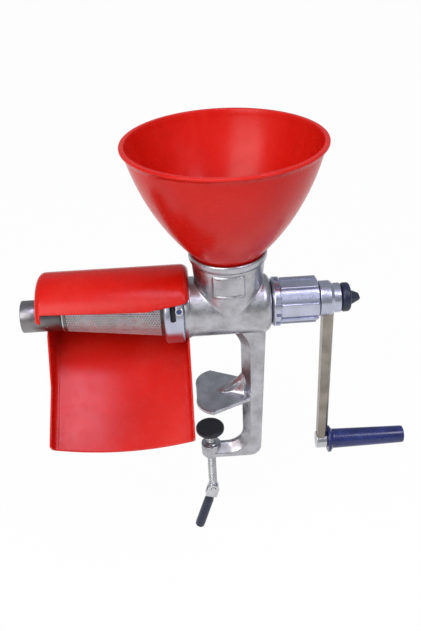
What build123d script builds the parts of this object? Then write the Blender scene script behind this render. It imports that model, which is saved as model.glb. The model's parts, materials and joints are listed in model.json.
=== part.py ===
from build123d import *
import os
from math import cos, sin, tan, radians, sqrt

# Hand-cranked tomato strainer that clamps to a table edge. Millimetres.
# The parts are drawn about the barrel axis (X, towards the crank) and the feed neck axis (Z).
# Every part is then raised by AXIS_H, so the row's origin is on the jaw's underside, below the neck.

AXIS_H = 134.0          # barrel axis above the table top

# fits
FIT = 0.06              # running fit, per side
LOOSE = 0.3             # gap between faces of parts that lift or turn past each other

# barrel casting
BARREL_R = 36.3
BARREL_BORE = 30.0
BARREL_END = 49.0       # outer face of the closed end
END_WALL = 9.0
BARREL_ROUND = 11.0
BEAD_X = -47.3          # shoulder bead in front of the lock ring, its right face
BEAD_W = 7.4
BEAD_R = 38.0
SPIGOT_W = 17.3         # spigot that carries the lock ring
SPIGOT_R = 36.8
REAR_TUBE_R = 16.0      # bearing tube behind the closed end
REAR_TUBE_L = 52.5
REAR_BOSS_R = 25.0
REAR_BOSS_L = 1.0

# feed neck
NECK_R = 35.0
NECK_MID_R = 40.2       # the neck opens as two cones that meet here
NECK_MID_Z = 34.0
COLLAR_NECK_R = 42.3
COLLAR_Z = 65.0
COLLAR_H = 9.0
COLLAR_R = 45.6
SOCKET_R = 38.0
SOCKET_Z = 56.7
PANEL_W = 36.0          # bare raised frame on the neck
PANEL_LOW = 31.5
PANEL_HIGH = 59.0
PANEL_LINE = 2.2
PANEL_PROUD = 1.3
PANEL_X = -2.0

# clamp frame, seen from the front
LEG_HALF = 13.0
LEG_INNER_X = 12.5
LEG_TOP_OUTER_X = 43.1
LEG_LOW_OUTER_X = 36.1
LEG_INNER_CUT = 11.0    # slanted inner edges of the leg
LEG_OUTER_ROUND = 2.5
LEG_CORNER = 16.0       # lower outer corner
LEG_FLARE = 22.0
ARM_TOP_Z = -217.0
ARM_H = 18.0
CROTCH_R = 22.0         # inner corner between leg and lower arm
SCREW_X = -31.5
BOSS_R = 8.6
BOSS_DROP = 6.0
BOSS_RISE = 1.5

# jaw plate
JAW_T = 5.0
JAW_LEFT_X = -46.5
JAW_HALF = 44.5
JAW_NECK_HALF = 21.0
JAW_RIGHT_X = 22.0
JAW_ROUND = 20.0
RIB_HALF = 6.0
RIB_H = 20.0
RIB_LEFT_X = -22.0

# lock ring
RING_R = 42.4
RING_W = 23.0
RING_GAP = 0.3          # to the bead
SLOT_W = 6.2
SLOT_X = -67.2
SLOT_LOW_DEG = 11.0     # above the horizontal, on the viewer's side
SLOT_HIGH_DEG = 66.0
WEDGE_R = 90.0          # reach of the slot's cutting wedge, past the ring
STUD_R = 2.6
STUD_DEG = 58.0
LOCK_SCREW_R = 4.3
LOCK_SCREW_DEG = 24.0
LOCK_SCREW_X = -59.8
LOCK_SCREW_PROUD = 1.6

# strainer
CONE_BIG_R = 33.0
CONE_BIG_X = -79.0
CONE_SMALL_R = 20.2
CONE_SMALL_X = -197.0
CONE_WALL = 1.0
FLANGE_T = 1.5
FLANGE_R = 36.6
GASKET_T = 1.5
PIPE_R = 19.3
PIPE_WALL = 1.5
PIPE_END_X = -247.0
SEAM_R = 20.7
SEAM_W = 1.4

# auger
AUGER_X0 = -203.0
AUGER_X1 = 33.0
AUGER_BARREL_R = 29.2
AUGER_TIP_R = 16.9
AUGER_CORE_R = 9.5
FLIGHT_T = 6.0
FLIGHT_TURNS = 4
SHAFT_R = 8.0
SHAFT_END_X = 131.0
BUSH_R = 11.0
SEAL_T = 3.0
SEAL_R = 16.0
THRUST_T = 2.4
THRUST_R = 14.0

# bearing ring and fluted sleeve
NUT_R = 30.0
NUT_W = 9.4
NUT_NOTCHES = 12
NOTCH_W = 4.2
NOTCH_DEEP = 2.2
NOTCH_LONG = 4.6
SLEEVE_L = 45.0
SLEEVE_FLAT_R = 25.6
SLEEVE_RIBS = 8
SLEEVE_RIB_R = 2.0
SLEEVE_RIB_OUT = 28.9
SLEEVE_RIB_DEG = 18.0
SLEEVE_CHAMFER = 2.2
SLEEVE_GROOVE = 1.0

# crank
HUB_WASHER_T = 1.4
HUB_WASHER_R = 20.0
HUB_R = 21.6
HUB_L = 13.0
HUB_CONE_L = 4.2
HUB_SMALL_R = 18.0
HUB_SMALL_L = 8.4
CRANK_R = 225.0
ARM_X = 112.8
ARM_T = 13.0
ARM_W_TOP = 20.0
ARM_W_LOW = 15.0
ARM_BEVEL = 3.2
ARM_BOSS_R = 11.4
ARM_BOSS_X = 111.5
ARM_BOSS_L = 15.0

# grip
GRIP_FLANGE_R = 18.0
GRIP_FLANGE_T = 5.5
GRIP_BIG_R = 13.2
GRIP_SMALL_R = 11.4
GRIP_L = 104.0
GRIP_ROUND = 2.2
PIN_R = 4.0
PIN_HEAD_R = 6.0
PIN_HEAD_T = 2.5
PIN_SEAT = 6.0          # how far the pin's head lies inside the grip's end

# thumb screw
THUMB_R = 17.7
THUMB_T = 11.5
THUMB_ROUND = 4.0
THUMB_GAP = 0.6
WING_L = 12.0
WING_BASE = 4.6
WING_TIP = 1.7
WING_HALF = 13.0
WING_TIP_HALF = 5.0
WING_ROUND = 1.2
THUMB_STUD_R = 4.0
THUMB_STUD_L = 22.0

# funnel
FUNNEL_RIM_R = 111.6
FUNNEL_RIM_Z = 204.0
FUNNEL_LIP_H = 3.2
FUNNEL_LIP = 3.4
FUNNEL_WALL = 2.4
FUNNEL_FOOT_Z = 57.0
FUNNEL_SHOULDER_Z = 67.0
FUNNEL_BELLY_R = 81.5
FUNNEL_BELLY_Z = 129.5
FUNNEL_LOW_R = 43.0
FUNNEL_LOW_Z = 76.0

# splash guard
GUARD_R = 51.7
GUARD_WALL = 2.4
GUARD_X0 = -224.0
GUARD_FRONT_LEFT_Z = 26.5
GUARD_FRONT_MID_Z = 23.0
GUARD_FRONT_MID_X = -98.0
GUARD_FRONT_RIGHT_Z = 30.0
GUARD_BACK_Z = -2.0
GUARD_CORNER = 9.0
TAB_W = 7.0
TAB_LOW_Z = 17.0

# juice chute
CHUTE_SLOPE = 34.0
CHUTE_DROP = 46.0       # from the barrel axis square to the floor
CHUTE_X0 = -219.0
CHUTE_INSET = 3.1       # from the bead's right face
CHUTE_WALL = 2.5
CHUTE_SIDE = 14.0
CHUTE_SAG = 9.0
CHUTE_CORNER = 6.0
CHUTE_LIP_Y = -100.5
CHUTE_LIP_BULGE = 5.0   # the lip's middle, further down the slope than its corners
CHUTE_BACK_Y = 47.5
CHUTE_BACK_TOP_Z = -6.0

# clamp screw and pad
PAD_R = 18.9
PAD_T = 8.0
PAD_RISE = 28.0         # pad face above the lower arm, at rest
PAD_TOP_Z = ARM_TOP_Z + PAD_RISE
PAD_ROUND = 2.5
PAD_SKIN = 4.0          # what is left of the pad over the screw's end
CUP_R = 9.0
CUP_T = 4.5
SCREW_R = 5.9
SCREW_DROP = 72.0       # screw's lower shoulder below the lower arm's top
SCREW_LOW_Z = ARM_TOP_Z - SCREW_DROP
TONGUE_HALF = 2.6
TONGUE_R = 7.0
PIVOT_DROP = 13.0
PIVOT_Z = SCREW_LOW_Z - PIVOT_DROP
RIVET_R = 2.5
RIVET_HEAD_R = 4.2
RIVET_HEAD_T = 1.6

# folding handle
HANDLE_LEAN = 17.3
CLEVIS_HALF_W = 8.0
CLEVIS_EAR = 3.0
CLEVIS_TOP = 8.0
CLEVIS_END = 14.0
HANDLE_R = 6.9
HANDLE_NECK_R = 5.4
HANDLE_END = 77.0
HANDLE_ROUND = 2.4


def turned_x(points):
    """Ring about the barrel axis from (x, radius) corners."""
    outline = Polyline([(x, 0, r) for x, r in points], close=True)
    return revolve(make_face(outline), Axis.X)


def turned_z(points, x=0.0):
    """Ring about an upright axis at x from (radius, z) corners."""
    outline = Polyline([(r, 0, z) for r, z in points], close=True)
    return Pos(x, 0, 0) * revolve(make_face(outline), Axis.Z)


def bar_x(x0, x1, r):
    """Round bar along the barrel axis."""
    return Pos((x0 + x1) / 2, 0, 0) * Rot(0, 90, 0) * Cylinder(r, x1 - x0)


def bar_z(z0, z1, r, x=0.0):
    """Round bar along an upright axis at x."""
    return Pos(x, 0, (z0 + z1) / 2) * Cylinder(r, z1 - z0)


def block(x0, x1, y0, y1, z0, z1):
    """Box between two corners."""
    return Pos((x0 + x1) / 2, (y0 + y1) / 2, (z0 + z1) / 2) * Box(x1 - x0, y1 - y0, z1 - z0)


def front_plate(edges, half):
    """Solid of an outline drawn in the XZ plane, as thick as half on each side."""
    return extrude(make_face(edges), half, dir=(0, 1, 0), both=True)


def radial_bar(x, deg, r0, r1, r):
    """Round bar pointing away from the barrel axis on the viewer's side, deg above the horizontal."""
    bar = Pos(0, 0, (r0 + r1) / 2) * Cylinder(r, r1 - r0)
    return Pos(x, 0, 0) * Rot(90 - deg, 0, 0) * bar


def floor_z(y):
    """Height of the chute's floor edge at y."""
    return -CHUTE_DROP / cos(radians(CHUTE_SLOPE)) + tan(radians(CHUTE_SLOPE)) * y


SPIGOT_X = BEAD_X - BEAD_W - SPIGOT_W
RING_X1 = BEAD_X - BEAD_W - RING_GAP
RING_X0 = RING_X1 - RING_W
FLANGE_X1 = SPIGOT_X - GASKET_T
FLANGE_X0 = FLANGE_X1 - FLANGE_T
WALL_X = BARREL_END - END_WALL
NUT_X0 = BARREL_END + REAR_BOSS_L
NUT_X1 = NUT_X0 + NUT_W
SLEEVE_X0 = NUT_X1 + SLEEVE_GROOVE
SLEEVE_X1 = SLEEVE_X0 + SLEEVE_L
HUB_WASHER_X = SLEEVE_X1 + LOOSE
HUB_X = HUB_WASHER_X + HUB_WASHER_T
HUB_CONE_X = HUB_X + HUB_L
HUB_SMALL_X = HUB_CONE_X + HUB_CONE_L
HUB_END_X = HUB_SMALL_X + HUB_SMALL_L
GRIP_X = ARM_BOSS_X + ARM_BOSS_L + LOOSE
GRIP_END_X = GRIP_X + GRIP_L
ARM_LOW_Z = ARM_TOP_Z - ARM_H
BOSS_LOW_Z = ARM_LOW_Z - BOSS_DROP


def leg_outline():
    """C-frame outline: leg from the barrel down, rounded corner, lower arm towards the screw."""
    top_z = -BARREL_R * 0.7
    flare_z = -BARREL_R - LEG_FLARE
    slope = (LEG_TOP_OUTER_X - LEG_LOW_OUTER_X) / (ARM_LOW_Z + LEG_CORNER - top_z)
    corner_top = (LEG_LOW_OUTER_X, ARM_LOW_Z + LEG_CORNER)
    corner_low = (LEG_LOW_OUTER_X - LEG_CORNER, ARM_LOW_Z)
    corner_mid = (LEG_LOW_OUTER_X - LEG_CORNER * 0.293, ARM_LOW_Z + LEG_CORNER * 0.293)
    inner_low = (LEG_INNER_X, ARM_TOP_Z + CROTCH_R)
    inner_end = (LEG_INNER_X - CROTCH_R, ARM_TOP_Z)
    inner_mid = (LEG_INNER_X - CROTCH_R * 0.293, ARM_TOP_Z + CROTCH_R * 0.293)
    flare_end = (LEG_INNER_X - LEG_FLARE, -BARREL_R * 0.85)
    flare_mid = (LEG_INNER_X - LEG_FLARE * 0.25, flare_z + LEG_FLARE * 0.62)

    def xz(p):
        return (p[0], 0, p[1])

    return [
        Line(xz((LEG_TOP_OUTER_X, top_z)), xz(corner_top)),
        ThreePointArc(xz(corner_top), xz(corner_mid), xz(corner_low)),
        Line(xz(corner_low), xz((SCREW_X, ARM_LOW_Z))),
        Line(xz((SCREW_X, ARM_LOW_Z)), xz((SCREW_X, ARM_TOP_Z))),
        Line(xz((SCREW_X, ARM_TOP_Z)), xz(inner_end)),
        ThreePointArc(xz(inner_end), xz(inner_mid), xz(inner_low)),
        Line(xz(inner_low), xz((LEG_INNER_X, flare_z))),
        ThreePointArc(xz((LEG_INNER_X, flare_z)), xz(flare_mid), xz(flare_end)),
        Line(xz(flare_end), xz((flare_end[0], top_z))),
        Line(xz((flare_end[0], top_z)), xz((LEG_TOP_OUTER_X, top_z))),
    ]


def clamp_frame():
    """Leg and lower arm with deep slanted inner edges and small round outer ones."""
    frame = front_plate(leg_outline(), LEG_HALF)
    faces_y = frame.faces().filter_by(Axis.Y)
    rims = ShapeList([e for f in faces_y for e in f.edges()])
    inner, outer = ShapeList(), ShapeList()
    for edge in rims:
        c = edge @ 0.5
        if abs(c.X - SCREW_X) < 0.1 or c.Z > -BARREL_R - 1:
            continue
        on_inside = c.X < LEG_INNER_X + 1 and c.Z > ARM_TOP_Z - 1
        (inner if on_inside else outer).append(edge)
    frame = chamfer(inner, LEG_INNER_CUT)
    keep = [e for e in frame.edges() if any((e @ 0.5 - (o @ 0.5)).length < 0.05 for o in outer)]
    return fillet(keep, LEG_OUTER_ROUND)


def jaw_plate():
    """Spade-shaped jaw, wide and round at its free end, with a rib on top."""
    low = -AXIS_H
    half = [(JAW_RIGHT_X, JAW_NECK_HALF), (JAW_LEFT_X + JAW_ROUND, JAW_HALF)]
    tip = (JAW_LEFT_X, JAW_HALF - 1.6 * JAW_ROUND)
    bend = (JAW_LEFT_X + JAW_ROUND * 0.32, JAW_HALF - JAW_ROUND * 0.42)
    edges = [
        Line(half[0], half[1]),
        ThreePointArc(half[1], bend, tip),
        Line(tip, (tip[0], -tip[1])),
        ThreePointArc((tip[0], -tip[1]), (bend[0], -bend[1]), (half[1][0], -half[1][1])),
        Line((half[1][0], -half[1][1]), (half[0][0], -half[0][1])),
        Line((half[0][0], -half[0][1]), half[0]),
    ]
    plate = Pos(0, 0, low) * extrude(make_face(edges), JAW_T, dir=(0, 0, 1))
    rib = Polyline([(RIB_LEFT_X, 0, low + 1), (LEG_INNER_X + 2, 0, low + 1),
                    (LEG_INNER_X + 2, 0, low + JAW_T + RIB_H)], close=True)
    return plate + front_plate(rib, RIB_HALF)


def neck_r(z):
    """Radius of the feed neck at height z."""
    if z < NECK_MID_Z:
        return NECK_R + (NECK_MID_R - NECK_R) * z / NECK_MID_Z
    return NECK_MID_R + (COLLAR_NECK_R - NECK_MID_R) * (z - NECK_MID_Z) / (SOCKET_Z + 3 - NECK_MID_Z)


def bare_frame():
    """Raised rectangular frame on the neck's front, its field left bare."""
    outer = block(PANEL_X - PANEL_W / 2, PANEL_X + PANEL_W / 2, -NECK_R - 30, 0, PANEL_LOW, PANEL_HIGH)
    inner = block(PANEL_X - PANEL_W / 2 + PANEL_LINE, PANEL_X + PANEL_W / 2 - PANEL_LINE,
                  -NECK_R - 31, 1, PANEL_LOW + PANEL_LINE, PANEL_HIGH - PANEL_LINE)
    low_z, high_z = PANEL_LOW - 4, PANEL_HIGH + 2
    skin = turned_z([(NECK_R - 3, low_z), (neck_r(low_z) + PANEL_PROUD, low_z),
                     (NECK_MID_R + PANEL_PROUD, NECK_MID_Z), (neck_r(high_z) + PANEL_PROUD, high_z),
                     (NECK_R - 3, high_z)])
    return (outer - inner) & skin


def body_casting():
    """Barrel, neck, clamp frame and jaw in one casting, bored through."""
    barrel = turned_x([(BEAD_X, 0), (BEAD_X, BARREL_R), (BARREL_END, BARREL_R), (BARREL_END, 0)])
    barrel = fillet(barrel.edges().sort_by(Axis.X)[-1], BARREL_ROUND)
    bead_x0 = BEAD_X - BEAD_W
    bead = turned_x([(bead_x0, 0), (bead_x0, BEAD_R), (BEAD_X, BEAD_R), (BEAD_X, 0)])
    bead = fillet(bead.edges().filter_by(GeomType.CIRCLE), 1.5)
    spigot = bar_x(SPIGOT_X, bead_x0, SPIGOT_R)
    boss = bar_x(BARREL_END - 1, NUT_X0, REAR_BOSS_R)
    tube = bar_x(BARREL_END - 1, BARREL_END + REAR_TUBE_L, REAR_TUBE_R)
    top = COLLAR_Z + COLLAR_H
    neck = turned_z([(0, 0), (NECK_R, 0), (NECK_MID_R, NECK_MID_Z), (COLLAR_NECK_R, SOCKET_Z + 3),
                     (COLLAR_NECK_R, COLLAR_Z - 1.5), (COLLAR_R - 1.2, COLLAR_Z),
                     (COLLAR_R, COLLAR_Z + 2), (COLLAR_R, top - 2), (COLLAR_R - 1.2, top), (0, top)])
    solid = barrel + neck + clamp_frame() + jaw_plate() + bare_frame()
    solid = solid + bead + spigot + boss + tube
    solid = solid + bar_z(BOSS_LOW_Z, ARM_TOP_Z + BOSS_RISE, BOSS_R, SCREW_X)
    solid = solid + bar_z(ARM_LOW_Z, ARM_TOP_Z, LEG_HALF, SCREW_X)
    solid = solid - bar_x(SPIGOT_X - 1, WALL_X, BARREL_BORE)
    solid = solid - bar_x(WALL_X - 1, BARREL_END + REAR_TUBE_L + 1, BUSH_R)
    slope_z = FUNNEL_SHOULDER_Z - LOOSE * 1.5
    socket = turned_z([(0, SOCKET_Z), (SOCKET_R, SOCKET_Z), (SOCKET_R, slope_z),
                       (funnel_out_r(top) + LOOSE * 1.5, top), (funnel_out_r(top) + LOOSE * 1.5, top + 1),
                       (0, top + 1)])
    solid = solid - bar_z(0, SOCKET_Z + 1, BARREL_BORE) - socket
    return solid - bar_z(BOSS_LOW_Z - 1, ARM_TOP_Z + BOSS_RISE + 1, SCREW_R + FIT, SCREW_X)


def funnel_out_r(z):
    """Outer radius of the funnel's shoulder cone at z."""
    foot_r = SOCKET_R - LOOSE
    return foot_r + (FUNNEL_LOW_R - foot_r) * (z - FUNNEL_SHOULDER_Z) / (FUNNEL_LOW_Z - FUNNEL_SHOULDER_Z)


def barrel_studs():
    """Two studs that the lock ring's slots run on."""
    seat = bar_x(SPIGOT_X, BEAD_X, SPIGOT_R)
    return [radial_bar(SLOT_X, STUD_DEG + turn, SPIGOT_R - 1, RING_R - 1, STUD_R) - seat for turn in (0, 180)]


def shaft_bush():
    """Plain bearing in the rear tube."""
    x1 = BARREL_END + REAR_TUBE_L
    return bar_x(WALL_X, x1, BUSH_R) - bar_x(WALL_X - 1, x1 + 1, SHAFT_R + FIT)


def rear_seal():
    """Seal ring against the closed end."""
    return bar_x(WALL_X - SEAL_T, WALL_X, SEAL_R) - bar_x(WALL_X - SEAL_T - 1, WALL_X + 1, SHAFT_R + LOOSE)


def bearing_ring():
    """Ring nut with notches in its right edge."""
    ring = bar_x(NUT_X0, NUT_X1, NUT_R) - bar_x(NUT_X0 - 1, NUT_X1 + 1, REAR_TUBE_R)
    left_edges = ring.edges().filter_by(GeomType.CIRCLE).sort_by(Axis.X)[:2]
    ring = chamfer(left_edges.sort_by(SortBy.RADIUS)[-1], 2.0)
    for i in range(NUT_NOTCHES):
        cut = block(NUT_X1 - NOTCH_LONG, NUT_X1 + 1, -NOTCH_W / 2, NOTCH_W / 2, NUT_R - NOTCH_DEEP, NUT_R + 2)
        ring = ring - Rot(360 / NUT_NOTCHES * i, 0, 0) * cut
    return ring


def fluted_sleeve():
    """Long grip sleeve with flat sides and a round rib on each corner."""
    flats = Rot(0, 90, 0) * RegularPolygon(SLEEVE_FLAT_R, SLEEVE_RIBS, major_radius=False)
    sleeve = Pos(SLEEVE_X0, 0, 0) * extrude(flats, SLEEVE_L, dir=(1, 0, 0))
    half_step = 180 / SLEEVE_RIBS
    corner_out = SLEEVE_FLAT_R / cos(radians(half_step))
    for i in range(SLEEVE_RIBS):
        rib = Pos(0, 0, SLEEVE_RIB_OUT - SLEEVE_RIB_R) * bar_x(SLEEVE_X0, SLEEVE_X1, SLEEVE_RIB_R)
        sleeve = sleeve + Rot(360 / SLEEVE_RIBS * i + half_step, 0, 0) * rib
    end = turned_x([(SLEEVE_X0, 0), (SLEEVE_X0, SLEEVE_RIB_OUT + 1),
                    (SLEEVE_X1 - SLEEVE_CHAMFER, SLEEVE_RIB_OUT + 0.3),
                    (SLEEVE_X1, corner_out - SLEEVE_CHAMFER - 0.8), (SLEEVE_X1, 0)])
    collar = bar_x(NUT_X1, SLEEVE_X0, SLEEVE_FLAT_R - 2)
    sleeve = Rot(90 - SLEEVE_RIB_DEG - half_step, 0, 0) * (sleeve & end) + collar
    return sleeve - bar_x(NUT_X1 - 1, SLEEVE_X1 + 1, REAR_TUBE_R)


def cone_r(x):
    """Outer radius of the perforated cone at x."""
    return CONE_SMALL_R + (CONE_BIG_R - CONE_SMALL_R) * (x - CONE_SMALL_X) / (CONE_BIG_X - CONE_SMALL_X)


def strainer_cone():
    """Thin cone with a flange that the lock ring clamps."""
    x0, x1 = CONE_SMALL_X, FLANGE_X0
    w = CONE_WALL
    return turned_x([(x0, cone_r(x0) - w), (x0, cone_r(x0)), (x1, cone_r(x1)), (x1, FLANGE_R),
                     (FLANGE_X1, FLANGE_R), (FLANGE_X1, cone_r(x1) - w), (x1, cone_r(x1) - w)])


def outlet_pipe():
    """Steel tube for skins and seeds, with a seam ring at the cone."""
    end, wall = PIPE_END_X, PIPE_WALL
    return turned_x([(end, PIPE_R - wall), (end, PIPE_R - wall * 0.5), (end + wall, PIPE_R),
                     (CONE_SMALL_X - SEAM_W, PIPE_R), (CONE_SMALL_X - SEAM_W, SEAM_R),
                     (CONE_SMALL_X, SEAM_R), (CONE_SMALL_X, PIPE_R - wall)])


def strainer_gasket():
    """Flat gasket between the cone's flange and the spigot."""
    return bar_x(FLANGE_X1, SPIGOT_X, FLANGE_R) - bar_x(FLANGE_X1 - 1, SPIGOT_X + 1, BARREL_BORE + 1)


def bayonet_ring():
    """Lock ring with two slots that run on the studs and a lip that holds the flange."""
    lip_x = FLANGE_X0 - LOOSE
    lip_r = cone_r(lip_x) + LOOSE * 2
    ring = turned_x([(RING_X0, lip_r), (RING_X0, RING_R - 2.5), (RING_X0 + 1, RING_R - 0.7),
                     (RING_X0 + 3, RING_R), (RING_X1 - 1, RING_R), (RING_X1, RING_R - 1),
                     (RING_X1, SPIGOT_R + LOOSE), (lip_x, SPIGOT_R + LOOSE), (lip_x, lip_r)])
    mid = (SLOT_LOW_DEG + SLOT_HIGH_DEG) / 2
    for turn in (0, 180):
        ends = [radial_bar(SLOT_X, d + turn, SPIGOT_R - 2, RING_R + 3, SLOT_W / 2)
                for d in (SLOT_LOW_DEG, SLOT_HIGH_DEG)]
        rim = [(SLOT_X, -cos(radians(d)) * WEDGE_R, sin(radians(d)) * WEDGE_R)
               for d in (SLOT_LOW_DEG, mid, SLOT_HIGH_DEG)]
        wedge = Polyline([(SLOT_X, 0, 0)] + rim, close=True)
        sector = Rot(-turn, 0, 0) * extrude(make_face(wedge), SLOT_W / 2, dir=(1, 0, 0), both=True)
        sector = sector - bar_x(SLOT_X - 5, SLOT_X + 5, SPIGOT_R - 2)
        ring = ring - sector - ends[0] - ends[1]
    seat = radial_bar(LOCK_SCREW_X, LOCK_SCREW_DEG, RING_R - 3.0, RING_R + 3, LOCK_SCREW_R * 0.5)
    return ring - seat


def ring_lock_screw():
    """Round-headed screw set in the lock ring."""
    shank = radial_bar(LOCK_SCREW_X, LOCK_SCREW_DEG, RING_R - 3.0, RING_R, LOCK_SCREW_R * 0.5)
    head = radial_bar(LOCK_SCREW_X, LOCK_SCREW_DEG, RING_R - 0.25, RING_R + LOCK_SCREW_PROUD, LOCK_SCREW_R)
    hexagon = extrude(RegularPolygon(LOCK_SCREW_R * 0.5, 6), 3)
    socket = Pos(LOCK_SCREW_X, 0, 0) * Rot(90 - LOCK_SCREW_DEG, 0, 0) * Pos(0, 0, RING_R + 0.4) * hexagon
    return (head - bar_x(RING_X0, RING_X1, RING_R)) + shank - socket


def auger():
    """Worm with one flight, parallel in the barrel and tapered in the cone."""
    step = (AUGER_X1 - AUGER_X0) / (2 * FLIGHT_TURNS)
    blade = Rectangle(AUGER_BARREL_R + 4, FLIGHT_T, align=(Align.MIN, Align.CENTER)).face()
    half_turn = Rot(0, 90, 0) * Solid.extrude_linear_with_rotation(blade, (0, 0, 0), (0, 0, step), 180)
    envelope = turned_x([(AUGER_X0, 0), (AUGER_X0, AUGER_TIP_R), (CONE_BIG_X, AUGER_BARREL_R),
                         (AUGER_X1, AUGER_BARREL_R), (AUGER_X1, 0)])
    worm = bar_x(AUGER_X0, AUGER_X1, AUGER_CORE_R)
    for i in range(2 * FLIGHT_TURNS):
        worm = worm + ((Pos(AUGER_X0 + i * step, 0, 0) * Rot(180 * i, 0, 0) * half_turn) & envelope)
    return worm


def auger_shaft():
    """Shaft from the auger through the bearing to the crank, drilled for the thumb screw."""
    bore = bar_x(SHAFT_END_X - THUMB_STUD_L - 2, SHAFT_END_X + 1, THUMB_STUD_R + FIT)
    return bar_x(AUGER_X1, SHAFT_END_X, SHAFT_R) - bore


def thrust_washer():
    """Washer between the auger and the rear seal."""
    x0 = AUGER_X1
    return bar_x(x0, x0 + THRUST_T, THRUST_R) - bar_x(x0 - 1, x0 + THRUST_T + 1, SHAFT_R)


def hub_washer():
    """Dark washer between the sleeve and the crank hub."""
    return bar_x(HUB_WASHER_X, HUB_X, HUB_WASHER_R) - bar_x(HUB_WASHER_X - 1, HUB_X + 1, SHAFT_R)


def hub_blank():
    """Stepped hub without its bore."""
    edge = 0.8
    return turned_x([(HUB_X, 0), (HUB_X, HUB_R - 1), (HUB_X + 1, HUB_R), (HUB_CONE_X, HUB_R),
                     (HUB_SMALL_X, HUB_SMALL_R), (HUB_END_X - edge, HUB_SMALL_R),
                     (HUB_END_X, HUB_SMALL_R - edge), (HUB_END_X, 0)])


def crank_hub():
    """Hub that the crank arm grows from."""
    return hub_blank() - bar_x(HUB_X - 1, HUB_END_X + 1, SHAFT_R)


def crank_arm():
    """Bevelled bar from the hub down to the grip's boss."""
    def section(z, w):
        half, b = w / 2, ARM_BEVEL
        x0, x1 = ARM_X, ARM_X + ARM_T
        pts = [(x0, -half, z), (x1 - b, -half, z), (x1, -half + b, z),
               (x1, half - b, z), (x1 - b, half, z), (x0, half, z)]
        return make_face(Polyline(pts, close=True))
    bar = loft([section(-CRANK_R, ARM_W_LOW), section(0, ARM_W_TOP)])
    boss = Pos(0, 0, -CRANK_R) * bar_x(ARM_BOSS_X, ARM_BOSS_X + ARM_BOSS_L, ARM_BOSS_R)
    boss = chamfer(boss.edges().filter_by(GeomType.CIRCLE), 1.0)
    arm = bar + boss
    hole = Pos(0, 0, -CRANK_R) * bar_x(ARM_BOSS_X - 1, ARM_BOSS_X + ARM_BOSS_L + 1, PIN_R)
    return arm - hub_blank() - hole


def grip_pin():
    """Pin through the grip, with a head sunk in the grip's end."""
    head_x = GRIP_END_X - PIN_SEAT
    pin = bar_x(ARM_BOSS_X, head_x, PIN_R) + bar_x(head_x, head_x + PIN_HEAD_T, PIN_HEAD_R)
    return Pos(0, 0, -CRANK_R) * pin


def grip():
    """Tapered grip with a flange, free to turn on its pin."""
    x0, x1 = GRIP_X, GRIP_END_X
    body = turned_x([(x0, 0), (x0, GRIP_FLANGE_R), (x0 + GRIP_FLANGE_T, GRIP_FLANGE_R),
                     (x0 + GRIP_FLANGE_T + 1.5, GRIP_BIG_R), (x1, GRIP_SMALL_R), (x1, 0)])
    body = fillet(body.edges().filter_by(GeomType.CIRCLE).sort_by(Axis.X)[-1], GRIP_ROUND)
    body = fillet(body.edges().filter_by(GeomType.CIRCLE).sort_by(Axis.X)[:2], 1.8)
    head_x = x1 - PIN_SEAT
    body = body - bar_x(x0 - 1, x1, PIN_R + FIT) - bar_x(head_x - LOOSE, x1 + 1, PIN_HEAD_R + LOOSE)
    return Pos(0, 0, -CRANK_R) * body


def thumb_screw():
    """Round knob with a flat wing, for the hand."""
    x0 = HUB_END_X + THUMB_GAP
    x1 = x0 + THUMB_T
    knob = fillet(bar_x(x0, x1, THUMB_R).edges().filter_by(GeomType.CIRCLE), THUMB_ROUND)
    wing = Polyline([(x1 - 2, 0, -WING_BASE), (x1 + WING_L, 0, -WING_TIP), (x1 + WING_L, 0, WING_TIP),
                     (x1 - 2, 0, WING_BASE)], close=True)
    taper = Polyline([(x1 - 2, -WING_HALF, 0), (x1 + WING_L, -WING_TIP_HALF, 0),
                      (x1 + WING_L, WING_TIP_HALF, 0), (x1 - 2, WING_HALF, 0)], close=True)
    taper = extrude(make_face(taper), 2 * WING_BASE, dir=(0, 0, 1), both=True)
    blade = front_plate(wing, WING_HALF) & taper
    return knob + fillet(blade.edges().group_by(Axis.X)[-1], WING_ROUND)


def thumb_stud():
    """Threaded stud of the thumb screw, inside the shaft's bore."""
    x0 = HUB_END_X + THUMB_GAP
    return bar_x(SHAFT_END_X - THUMB_STUD_L, x0, THUMB_STUD_R)


def arc_centre(a, b, c):
    """Centre and radius of the circle through three points."""
    d = 2 * (a[0] * (b[1] - c[1]) + b[0] * (c[1] - a[1]) + c[0] * (a[1] - b[1]))
    sq = [p[0] ** 2 + p[1] ** 2 for p in (a, b, c)]
    x = (sq[0] * (b[1] - c[1]) + sq[1] * (c[1] - a[1]) + sq[2] * (a[1] - b[1])) / d
    y = (sq[0] * (c[0] - b[0]) + sq[1] * (a[0] - c[0]) + sq[2] * (b[0] - a[0])) / d
    return (x, y), sqrt((a[0] - x) ** 2 + (a[1] - y) ** 2)


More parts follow.
